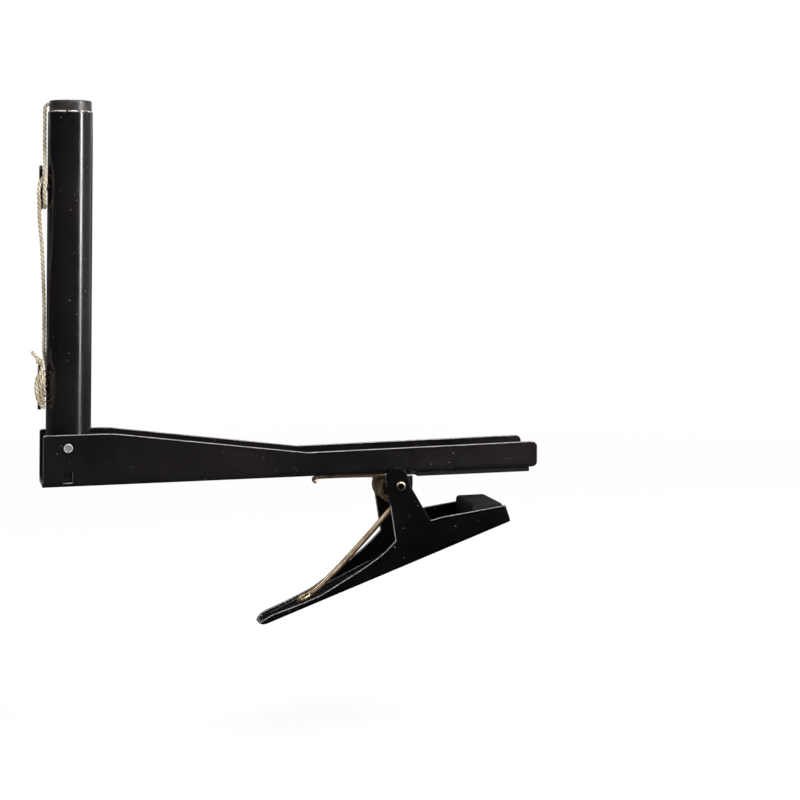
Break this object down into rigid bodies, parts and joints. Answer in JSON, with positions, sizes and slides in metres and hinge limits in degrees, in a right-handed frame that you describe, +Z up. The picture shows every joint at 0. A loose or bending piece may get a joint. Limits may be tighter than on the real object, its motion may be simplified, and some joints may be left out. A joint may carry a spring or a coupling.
{
  "type": "table tennis net clamp",
  "caption": "Clip-on net post for table tennis: a channel arm over the table carries a fixed tube post, and a sprung lever below it grips the table's edge.",
  "frame": {"origin": "on the table's top face, at the table's edge, in the middle of the arm's width", "axes": "+X from the edge over the table, +Y across the arm, +Z up"},
  "size_m": [0.2073, 0.0267, 0.2109],
  "materials": {
    "black_paint": "gloss",
    "black_rubber": "matt",
    "cap_metal": "satin",
    "rivet_aluminium": "satin",
    "pin_brass": "satin",
    "spring_wire": "zinc-plated, yellow passivated",
    "black_plastic": "gloss",
    "steel_rivet": "satin",
    "cord_twine": "twisted twine"
  },
  "bodies": {
    "arm": {"channel_arm": "black_paint", "arm_pad": "black_rubber", "hinge_bracket": "black_paint", "post_tube": "black_paint", "post_cap": "cap_metal", "post_rivet": "rivet_aluminium", "pivot_pin": "pin_brass", "torsion_spring": "spring_wire", "upper_cord_cleat": "black_plastic", "lower_cord_cleat": "black_plastic", "upper_cleat_rivet": "steel_rivet", "lower_cleat_rivet": "steel_rivet", "cord_top_run": "cord_twine", "upper_cord_winding": "cord_twine", "cord_middle_run": "cord_twine", "lower_cord_winding": "cord_twine", "cord_end_run": "cord_twine", "cord_knot": "cord_twine"},
    "lever": {"clamp_lever": "black_paint", "jaw_pad": "black_rubber"}
  },
  "joints": [
    {"name": "lever_pivot", "type": "hinge", "parent": "arm", "child": "lever", "pos_m": [-0.0094, 0, -0.0031], "axis": [0, 1, 0], "range_deg": [-14.5, 45], "stiffness_Nm_per_rad": 4.4, "deforming": ["torsion_spring"]}
  ]
}
